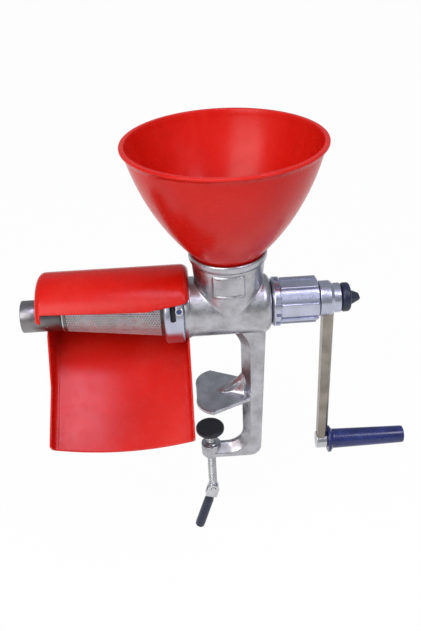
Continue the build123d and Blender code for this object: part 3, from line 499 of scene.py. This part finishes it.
def sleeve_and_nut():
    """Eight-sided sleeve with a round rib on each corner, and the notched ring nut."""
    near = [0, 1.1, 2.2, 3.0, 3.35, 3.6, 4.2, 8, 13, 18]
    local = [-22.5] + [-v for v in reversed(near[1:])] + near
    angles = sorted((pi - radians(SLEEVE_TURN + 45 * k + v)) % (2 * pi) for k in range(8) for v in local)
    x0, x1 = SLEEVE

    def capped(cap):
        return lambda t: min(sleeve_radius(t), cap)

    def plain(r):
        return lambda t: r

    full = SLEEVE_OUT + 1
    stations = [(x0 - 1, plain(23.6)), (x0 - 0.05, plain(23.6)), (x0, capped(28.3)),
                (x0 + 0.4, capped(full)), (x1 - 2.4, capped(full)), (x1 - 2.0, capped(28.3)),
                (x1 - 0.5, capped(25.4)), (x1, capped(24.7)), (x1, plain(16.0)), (x0 - 1, plain(16.0))]
    sleeve = link("sleeve_body", shaped_ring("sleeve", stations, angles, (0, AXIS_Z)), "root", DIE_CAST,
                  ["fluted_sleeve"])
    flat_shaded_edges(sleeve, 28)
    local = [-15, -11, -7.6, -7.2, -6.8, -3.5, 0, 3.5, 6.8, 7.2, 7.6, 11]
    angles = sorted((pi / 2 + radians(30 * k + v)) % (2 * pi) for k in range(12) for v in local)
    outer, notch = 30.0, 26.8

    def notched(top):
        def radius(t):
            v = (t - pi / 2 + pi / 12) % (pi / 6) - pi / 12
            return min(notch, top) if abs(v) < radians(7.0) else top
        return radius

    stations = [(50.0, plain(16.2)), (50.0, plain(28.0)), (51.6, plain(29.6)), (52.4, plain(outer)),
                (53.4, plain(outer)), (53.5, notched(outer)), (58.8, notched(outer)), (59.4, notched(29.3)),
                (59.4, plain(16.2))]
    nut = link("nut_body", shaped_ring("nut", stations, angles, (0, AXIS_Z)), "root", DIE_CAST,
               ["bearing_ring"])
    flat_shaded_edges(nut, 28)


def crank():
    """Turned hub, bevelled arm and the round boss at its end."""
    hub = [(107.1, 8.1, 0.2), (107.1, 21.6, 1.0), (120.1, 21.6, 1.4), (124.3, 18.0, 1.2), (132.7, 18.0, 1.1),
           (132.7, 8.1, 0.2)]
    mesh = solid_lathe("hub", hub, segments=128, centre=(0, AXIS_Z))
    link("hub_body", mesh, "crank", DIE_CAST, ["crank_hub"])
    left, right, bevel = 112.8, 125.8, 3.2
    bm = bmesh.new()
    rings = []
    for z, width in ((-CRANK_R, 15.0), (-CRANK_R + 1.5, 15.0), (-4.0, 20.0), (-2.0, 20.0)):
        half = width / 2
        corners = [(left, -half, 1.0), (right - bevel, -half, 0.5), (right, -half + bevel, 0.5),
                   (right, half - bevel, 0.5), (right - bevel, half, 0.5), (left, half, 1.0)]
        rings.append([bm.verts.new(Vector((x, y, AXIS_Z + z)) * MM) for x, y in rounded(corners)])
    capped_loft(bm, rings)
    arm = link("arm_bar", from_bmesh("arm", bm), "crank", ARM_STEEL, ["crank_arm"])
    flat_shaded_edges(arm, 20)
    boss = [(111.5, 4.0, 0.2), (111.5, 11.4, 1.4), (126.5, 11.4, 1.4), (126.5, 4.0, 0.2)]
    mesh = solid_lathe("boss", boss, segments=64, centre=(0, AXIS_Z - CRANK_R))
    link("arm_boss", mesh, "crank", STEEL)


# painted shade: a thin dark band on the spigot stands in for the shade inside the lock ring's slots
SPIGOT_SHADE = (-70.5, -63.5, 36.86, 37.0)


def slot_shade():
    """Dark band on the spigot, painted shade that shows through the lock ring's slots."""
    x0, x1, inner, outer = SPIGOT_SHADE
    band = [(x0, inner), (x0, outer), (x1, outer), (x1, inner)]
    mesh = lathe("slot_shade_band", band, segments=128, centre=(0, AXIS_Z))
    link("slot_shade_band", mesh, "root", RUBBER)


def arc_through(a, b, c, count):
    """Points of the arc a-b-c, each an (along, radius) pair."""
    d = 2 * (a[0] * (b[1] - c[1]) + b[0] * (c[1] - a[1]) + c[0] * (a[1] - b[1]))
    sq = [p[0] ** 2 + p[1] ** 2 for p in (a, b, c)]
    x = (sq[0] * (b[1] - c[1]) + sq[1] * (c[1] - a[1]) + sq[2] * (a[1] - b[1])) / d
    y = (sq[0] * (c[0] - b[0]) + sq[1] * (a[0] - c[0]) + sq[2] * (b[0] - a[0])) / d
    start, end = Vector((a[0] - x, a[1] - y)), Vector((c[0] - x, c[1] - y))
    sweep = atan2(start.x * end.y - start.y * end.x, start.dot(end))
    out = []
    for k in range(count + 1):
        t = sweep * k / count
        out.append((x + start.x * cos(t) - start.y * sin(t), y + start.x * sin(t) + start.y * cos(t)))
    return out, (x, y), start.length


FUNNEL_WALL = 2.4
FUNNEL_LOW = (AXIS_Z + 76.0, 43.0)
FUNNEL_BELLY = (AXIS_Z + 129.5, 81.5)
FUNNEL_HIGH = (AXIS_Z + 200.8, 108.2)
FUNNEL_RIM = (AXIS_Z + 204.0, 111.6)
FUNNEL_FOOT = (AXIS_Z + 57.0, AXIS_Z + 67.0, 37.7)


def funnel():
    """Bell-shaped hopper with a small rolled lip."""
    low_z, shoulder_z, foot_r = FUNNEL_FOOT
    outer, centre, radius = arc_through(FUNNEL_LOW, FUNNEL_BELLY, FUNNEL_HIGH, 40)
    shrink = (radius - FUNNEL_WALL) / radius
    inner = [(centre[0] + (a - centre[0]) * shrink, centre[1] + (r - centre[1]) * shrink) for a, r in outer]
    lip_z, lip_r = FUNNEL_RIM
    mouth_r = inner[-1][1]
    lip = rounded([(FUNNEL_HIGH[0] - 0.5, FUNNEL_HIGH[1] - 1.4, 0), (FUNNEL_HIGH[0] - 0.4, lip_r, 1.5),
                   (lip_z, lip_r, 1.5), (lip_z, mouth_r + 0.3, 1.2), (lip_z - 3, mouth_r - 0.9, 0)])
    profile = [(low_z, foot_r - 0.4), (low_z + 0.4, foot_r),
               (shoulder_z - 0.4, foot_r), (shoulder_z + 0.4, foot_r + 0.3)]
    profile += outer[:-1] + lip[1:-1] + list(reversed(inner[:-1]))
    profile += [(shoulder_z + 1, foot_r - FUNNEL_WALL), (low_z, foot_r - FUNNEL_WALL)]
    mesh = lathe("funnel", profile, segments=192, along="Z")
    link("funnel_shell", mesh, "funnel", RED, ["funnel"])


CONE_X = (-197.0, -78.5)
CONE_R = (20.2, 33.05)
CONE_THICK = 0.8
HOLE_PITCH = 3.15
HOLE_R = 1.14
CELL_SIDES = 12


def cone_radius(x):
    return CONE_R[0] + (CONE_R[1] - CONE_R[0]) * (x - CONE_X[0]) / (CONE_X[1] - CONE_X[0])


def strainer():
    """Punched sheet rolled to a cone: a hexagonal hole pattern on the flat sheet, then wrapped."""
    run = CONE_X[1] - CONE_X[0]
    slope = (CONE_R[1] - CONE_R[0]) / run
    lean = sqrt(1 + slope * slope)
    slant0 = CONE_R[0] / slope * lean            # slant distance from the cone's tip
    slant1 = CONE_R[1] / slope * lean
    fan = 2 * pi * slope / lean                  # angle of the flat sheet
    bm = bmesh.new()
    hex_r = HOLE_PITCH / sqrt(3)

    def wrap(u, v):
        slant = sqrt(u * u + v * v)
        turn = atan2(v, u) / fan * 2 * pi + pi / 2
        x = CONE_X[0] + (slant - slant0) / lean
        r = slant * slope / lean
        return Vector((x, r * sin(turn + pi), AXIS_Z + r * cos(turn + pi))) * MM

    row_step = HOLE_PITCH * sqrt(3) / 2
    rows = int(2 * slant1 * sin(fan / 2) / row_step) + 2
    for j in range(-rows, rows):
        v = j * row_step
        shift = HOLE_PITCH / 2 * (j % 2)
        for i in range(int((slant0 - 6) / HOLE_PITCH), int((slant1 + 6) / HOLE_PITCH) + 1):
            u = i * HOLE_PITCH + shift
            slant = sqrt(u * u + v * v)
            off_ends = not slant0 + hex_r < slant < slant1 - hex_r
            if off_ends or abs(atan2(v, u)) > fan / 2 - hex_r / slant * 0.7:
                continue
            rim, hole = [], []
            for k in range(CELL_SIDES):
                t = 2 * pi * k / CELL_SIDES + pi / 6
                wide = hex_r if k % 2 == 0 else hex_r * cos(pi / 6)
                rim.append(bm.verts.new(wrap(u + wide * cos(t), v + wide * sin(t))))
                hole.append(bm.verts.new(wrap(u + HOLE_R * cos(t), v + HOLE_R * sin(t))))
            for k in range(CELL_SIDES):
                n = (k + 1) % CELL_SIDES
                bm.faces.new((rim[k], rim[n], hole[n], hole[k]))
    bmesh.ops.remove_doubles(bm, verts=bm.verts, dist=2e-5)
    mesh = from_bmesh("strainer", bm)
    obj = link("strainer_mesh", mesh, "root", MESH_STEEL, ["strainer_cone"])
    thick = obj.modifiers.new("thick", "SOLIDIFY")
    thick.thickness = CONE_THICK * MM
    thick.offset = -1
    apply_modifiers(obj)
    strainer_bands()


def strainer_bands():
    """Plain margins at both ends, the flange and the lapped seam of the rolled cone."""
    x0, x1 = CONE_X
    step = HOLE_PITCH * 1.2
    small = [(x0, cone_radius(x0) - 0.9), (x0, cone_radius(x0) + 0.2),
             (x0 + step, cone_radius(x0 + step) + 0.15), (x0 + step, cone_radius(x0 + step) - 0.9)]
    band = lathe("band", small, centre=(0, AXIS_Z))
    link("strainer_small_band", band, "root", PIPE_STEEL)
    inner = cone_radius(x1) - 0.9
    big = [(x1 - step, cone_radius(x1 - step) - 0.9), (x1 - step, cone_radius(x1 - step) + 0.15),
           (x1 + 3, cone_radius(x1) + 0.3), (x1 + 3, 36.5), (x1 + 4.4, 36.5), (x1 + 4.4, inner), (x1, inner)]
    link("strainer_flange", lathe("flange", big, centre=(0, AXIS_Z)), "root", PIPE_STEEL)
    bm = bmesh.new()
    rows = []
    for x in (x0 + 1, x1 - 1):
        for proud in (-0.9, 0.35):
            for off in (-3.0, -1.5, 0.0, 1.5, 3.0):
                r = cone_radius(x) + proud
                t = off / r
                rows.append(bm.verts.new(Vector((x, r * sin(t), AXIS_Z + r * cos(t))) * MM))
    # the lap lies on top, under the splash guard
    low, high = rows[:10], rows[10:]
    for k in range(4):
        bm.faces.new((low[5 + k], low[6 + k], high[6 + k], high[5 + k]))
        bm.faces.new((low[k + 1], low[k], high[k], high[k + 1]))
    for k in (0, 4):
        bm.faces.new((low[k], low[k + 5], high[k + 5], high[k]))
    for side in (low, high):
        for k in range(4):
            bm.faces.new((side[k], side[k + 1], side[k + 6], side[k + 5]))
    link("strainer_seam", from_bmesh("seam", bm), "root", PIPE_STEEL, smooth=False)


def outlet_pipe():
    """Thin steel tube with a rounded end and the bright seam ring."""
    outer, inner = 19.3, 17.8
    body = [(-247.0, inner, 0.4), (-247.0, outer, 1.2), (-197.2, outer, 0), (-197.2, inner, 0)]
    mesh = solid_lathe("pipe", body, segments=128, centre=(0, AXIS_Z))
    link("outlet_tube", mesh, "root", PIPE_STEEL, ["outlet_pipe"])
    seam = [(-198.5, outer - 0.2, 0), (-198.4, 20.5, 0.5), (-197.1, 20.7, 0.6),
            (-196.6, 20.0, 0.2), (-196.6, inner, 0)]
    mesh = solid_lathe("solder_seam", seam, segments=128, centre=(0, AXIS_Z))
    link("outlet_seam", mesh, "root", SOLDER)
    bm = bmesh.new()
    bmesh.ops.create_uvsphere(bm, u_segments=20, v_segments=10, radius=1.0 * MM)
    for vert in bm.verts:
        vert.co.y *= 0.35
    turn = radians(-14)
    at = Vector((-216.5, -19.25 * cos(turn), AXIS_Z + 19.25 * sin(turn))) * MM
    bmesh.ops.transform(bm, matrix=Matrix.Translation(at) @ Matrix.Rotation(turn, 4, "X"), verts=bm.verts)
    link("pipe_spot_weld", from_bmesh("weld", bm), "root", ARM_STEEL)


GRIP_X = 126.8
GRIP_Z = AXIS_Z - CRANK_R


def grip():
    """Dark tapered grip: flange, waist ring, long body and a hollow end."""
    x, end = GRIP_X, GRIP_X + 104
    body = [(x, 4.1, 0.3), (x, 18.0, 1.6), (x + 3.6, 18.0, 1.4), (x + 6.6, 13.6, 1.2), (x + 9, 13.2, 1.0),
            (end, 11.4, 2.2), (end, 6.4, 0.6), (end - 6.2, 6.3, 0.4), (end - 6.4, 4.1, 0.2)]
    mesh = solid_lathe("grip", body, segments=96, centre=(0, GRIP_Z))
    link("grip_body", mesh, "grip", NAVY, ["grip"])
    head_x = end - 6
    pin = [(111.5, 0.0, 0), (111.3, 3.4, 0.4), (112, 4.0, 0.3), (head_x, 4.0, 0.1), (head_x, 6.0, 0.3),
           (head_x + 2.0, 6.0, 1.2), (head_x + 2.5, 0.0, 0)]
    mesh = solid_lathe("pin", pin, segments=48, centre=(0, GRIP_Z))
    link("grip_pin_piece", mesh, "crank", STEEL, ["grip_pin"])


def thread(name, z0, z1, root_r, crest_r, pitch, centre_x, flats=48):
    """Rod along Z with a helical thread between z0 and z1, mm, ends drawn in."""
    bm = bmesh.new()
    steps = int((z1 - z0) / (pitch / 8))
    rings = []
    for i in range(steps + 1):
        z = z0 + (z1 - z0) * i / steps
        fade = min(1, (z - z0) / pitch, (z1 - z) / pitch)
        ring = []
        for k in range(flats):
            t = 2 * pi * k / flats
            phase = (z / pitch - k / flats) % 1
            tooth = min(1, max(0, 1.6 - abs(phase - 0.5) * 5))
            r = root_r + (crest_r - root_r) * tooth * max(0, fade)
            ring.append(bm.verts.new(Vector((centre_x + r * cos(t), r * sin(t), z)) * MM))
        rings.append(ring)
    capped_loft(bm, rings)
    return from_bmesh(name, bm)


def clamp_parts():
    """Threaded clamp screw with its flat tongue, the pad and the cup under it."""
    low, top = AXIS_Z - 289.0, AXIS_Z - 193.4
    mesh = thread("clamp_thread", low, top, 5.15, 5.88, 3.0, SCREW_X)
    link("clamp_screw_thread", mesh, "clamp_screw", STEEL, ["clamp_screw"])
    bm = bmesh.new()
    outline = [(-5.15, low + 1), (5.15, low + 1), (6.4, low - 4)]
    outline += [(7.0 * cos(t), PIVOT_Z + 7.0 * sin(t)) for t in [-pi * k / 16 for k in range(17)]]
    outline += [(-6.4, low - 4)]
    for side in (-1, 1):
        for k, (x, z) in enumerate(outline):
            thick = 4.6 if z > low else 2.6
            bm.verts.new(Vector((SCREW_X + x, side * thick, z)) * MM)
    bm.verts.ensure_lookup_table()
    n = len(outline)
    front, back = bm.verts[:n], bm.verts[n:]
    bm.faces.new(front)
    bm.faces.new(list(reversed(back)))
    for k in range(n):
        m = (k + 1) % n
        bm.faces.new((front[k], back[k], back[m], front[m]))
    mesh = from_bmesh("tongue", bm)
    tongue = link("clamp_screw_tongue", mesh, "clamp_screw", STEEL, smooth=False)
    edge = tongue.modifiers.new("edge", "BEVEL")
    edge.width = 0.5 * MM
    edge.segments = 3
    edge.angle_limit = radians(40)
    apply_modifiers(tongue)
    reach = 6.2
    rivet = [(-reach - 1.6, 0.0, 0), (-reach - 1.5, 3.6, 1.3), (-reach, 4.2, 0.3), (-reach, 2.5, 0.1),
             (reach, 2.5, 0.1), (reach, 4.2, 0.3), (reach + 1.5, 3.6, 1.3), (reach + 1.6, 0.0, 0)]
    mesh = solid_lathe("rivet", rivet, segments=48, along="Z")
    mesh.transform(Matrix.Translation(Vector((SCREW_X, 0, PIVOT_Z)) * MM) @ Matrix.Rotation(pi / 2, 4, "X"))
    link("pivot_rivet_piece", mesh, "clamp_screw", STEEL, ["pivot_rivet"])
    top = PAD_TOP_Z
    pad = [(top - 8, 6.0, 0.3), (top - 8, 17.0, 2.2), (top - 5.5, 18.9, 1.6),
           (top - 1.6, 18.9, 1.4), (top, 17.4, 0.8), (top - 0.25, 10.0, 0.5),
           (top, 0.0, 0), (top - 3.8, 0.0, 0), (top - 3.9, 6.0, 0.2)]
    mesh = solid_lathe("pad", pad, segments=96, along="Z", centre=(SCREW_X, 0))
    link("clamp_pad_piece", mesh, "pad", PAD_BLACK, ["clamp_pad"])
    top -= 8
    cup = [(top - 4.5, 5.96, 0.2), (top - 4.5, 7.6, 0.9), (top - 2.6, 9.0, 0.8),
           (top, 9.0, 0.2), (top, 5.96, 0)]
    mesh = solid_lathe("cup", cup, segments=64, along="Z", centre=(SCREW_X, 0))
    link("pad_cup_piece", mesh, "pad", STEEL, ["pad_cup"])


def folding_handle():
    """Dark sleeve on the folding handle, hung at its rest lean."""
    sleeve = [(-77.0, 0.0, 0), (-77.0, 6.7, 2.0), (-70.0, 6.9, 3.0), (-24.0, 6.7, 3.0), (-16.0, 5.4, 1.5),
              (-14.0, 5.3, 0.6), (-14.0, 3.3, 0.2), (-69.0, 3.3, 0.2), (-69.0, 0.0, 0)]
    mesh = solid_lathe("sleeve", sleeve, segments=64, along="Z")
    lean = Matrix.Rotation(radians(HANDLE_LEAN), 4, "Y")
    mesh.transform(Matrix.Translation(Vector((SCREW_X, 0, PIVOT_Z)) * MM) @ lean)
    link("handle_sleeve_piece", mesh, "handle", BLACK, ["handle_sleeve"])


def ring_screw():
    """Lock ring's round-headed screw, with a dark disc in its socket as painted shade."""
    lift = radians(24.0)
    out = Vector((0, -cos(lift), sin(lift)))
    head = [(-3.0, 0.0, 0), (-3.0, 2.1, 0.2), (-0.3, 2.15, 0.1), (-0.3, 4.8, 0.2), (1.1, 4.7, 0.8),
            (1.7, 3.5, 0.4), (0.6, 2.9, 0.1), (0.6, 0.0, 0)]
    spin = Vector((0, 0, 1)).rotation_difference(out).to_matrix().to_4x4()
    at = Vector((-59.8, 0, AXIS_Z)) + out * RING_R
    place = Matrix.Translation(at * MM) @ spin
    mesh = solid_lathe("ring_screw", head, segments=48, along="Z")
    mesh.transform(place)
    link("ring_screw_head", mesh, "lock_ring", SOLDER, ["ring_lock_screw"])
    # painted shade: a dark disc fills the shallow socket in place of its shaded hollow
    socket = [(0.5, 0.0, 0), (0.5, 3.0, 0.1), (1.0, 3.1, 0.2), (0.8, 1.6, 0.2), (0.8, 0.0, 0)]
    mesh = solid_lathe("ring_screw_socket", socket, segments=32, along="Z")
    mesh.transform(place)
    link("ring_screw_recess", mesh, "lock_ring", SOCKET_SHADE_DARK, smooth=False)


# ---------------------------------------------------------------- stage, light, camera

def area_light(name, at, aim, width, height, power, color):
    light = bpy.data.lights.new(name, "AREA")
    light.shape = "RECTANGLE"
    light.size = width
    light.size_y = height
    light.energy = power
    light.color = color
    obj = bpy.data.objects.new(name, light)
    bpy.context.scene.collection.objects.link(obj)
    obj.location = at
    obj.rotation_euler = (Vector(aim) - Vector(at)).to_track_quat("-Z", "Y").to_euler()


def larger(tree, first, second):
    """The larger of two values."""
    node = tree.nodes.new("ShaderNodeMath")
    node.operation = "MAXIMUM"
    tree.links.new(first, node.inputs[0])
    tree.links.new(second, node.inputs[1])
    return node.outputs["Value"]


def floor_material():
    """Pale floor that the camera, mirrors and clear pieces see as nearly plain white."""
    mat, tree, shader = new_material("floor", (0.92, 0.92, 0.92), 0.0, 0.9)
    path = tree.nodes.new("ShaderNodeLightPath")
    glow = tree.nodes.new("ShaderNodeEmission")
    glow.inputs["Strength"].default_value = 1.0
    seen = larger(tree, path.outputs["Is Camera Ray"], path.outputs["Is Glossy Ray"])
    seen = larger(tree, seen, path.outputs["Is Transmission Ray"])
    share = tree.nodes.new("ShaderNodeMath")
    share.operation = "MULTIPLY"
    share.inputs[1].default_value = FLOOR_WHITE
    tree.links.new(seen, share.inputs[0])
    mix = tree.nodes.new("ShaderNodeMixShader")
    tree.links.new(share.outputs["Value"], mix.inputs["Fac"])
    tree.links.new(shader.outputs["BSDF"], mix.inputs[1])
    tree.links.new(glow.outputs["Emission"], mix.inputs[2])
    tree.links.new(mix.outputs["Shader"], tree.nodes["Material Output"].inputs["Surface"])
    return mat


def sky():
    """World that goes from warm grey at the horizon to pale blue above."""
    world = bpy.data.worlds.new("world")
    bpy.context.scene.world = world
    world.use_nodes = True
    tree = world.node_tree
    back = tree.nodes["Background"]
    back.inputs["Strength"].default_value = WORLD_STRENGTH
    coord = tree.nodes.new("ShaderNodeTexCoord")
    split = tree.nodes.new("ShaderNodeSeparateXYZ")
    tree.links.new(coord.outputs["Generated"], split.inputs["Vector"])
    fade = ramp(tree, split.outputs["Z"], [(0.0, (0.62, 0.60, 0.58)), (0.35, (0.86, 0.92, 1.0))])
    tree.links.new(fade, back.inputs["Color"])


def stage():
    """Floor below the handle, world and lights."""
    bpy.ops.mesh.primitive_plane_add(size=14, location=(0, 0, FLOOR_Z))
    floor = bpy.context.object
    floor.name = "floor"
    floor.data.materials.append(floor_material())
    sky()
    for light in LIGHTS:
        area_light(*light)


def camera():
    """Camera at the photograph's angle, from the fitted pitch, yaw, roll and distance."""
    p, w, r = radians(PITCH), radians(YAW), radians(ROLL)
    look = Vector((sin(w) * cos(p), cos(w) * cos(p), -sin(p)))
    side = Vector((cos(w), -sin(w), 0))
    up = side.cross(look)
    right = cos(r) * side - sin(r) * up
    top = sin(r) * side + cos(r) * up
    target = (Vector(TARGET) + Vector((0, 0, AXIS_Z))) * MM
    turn = Matrix((right, top, -look)).transposed().to_4x4()
    data = bpy.data.cameras.new("camera")
    data.sensor_fit = "VERTICAL"
    data.sensor_height = SENSOR
    data.lens = FOCAL_PX / PHOTO_H * SENSOR
    obj = bpy.data.objects.new("camera", data)
    bpy.context.scene.collection.objects.link(obj)
    obj.matrix_world = Matrix.Translation(target - look * DISTANCE * MM) @ turn
    bpy.context.scene.camera = obj


bpy.context.scene.view_settings.view_transform = "Standard"
camera()
stage()
finish_cad_nodes()
softened_pieces()
funnel()
strainer()
outlet_pipe()
grip()
clamp_parts()
folding_handle()
ring_screw()
sleeve_and_nut()
crank()
slot_shade()
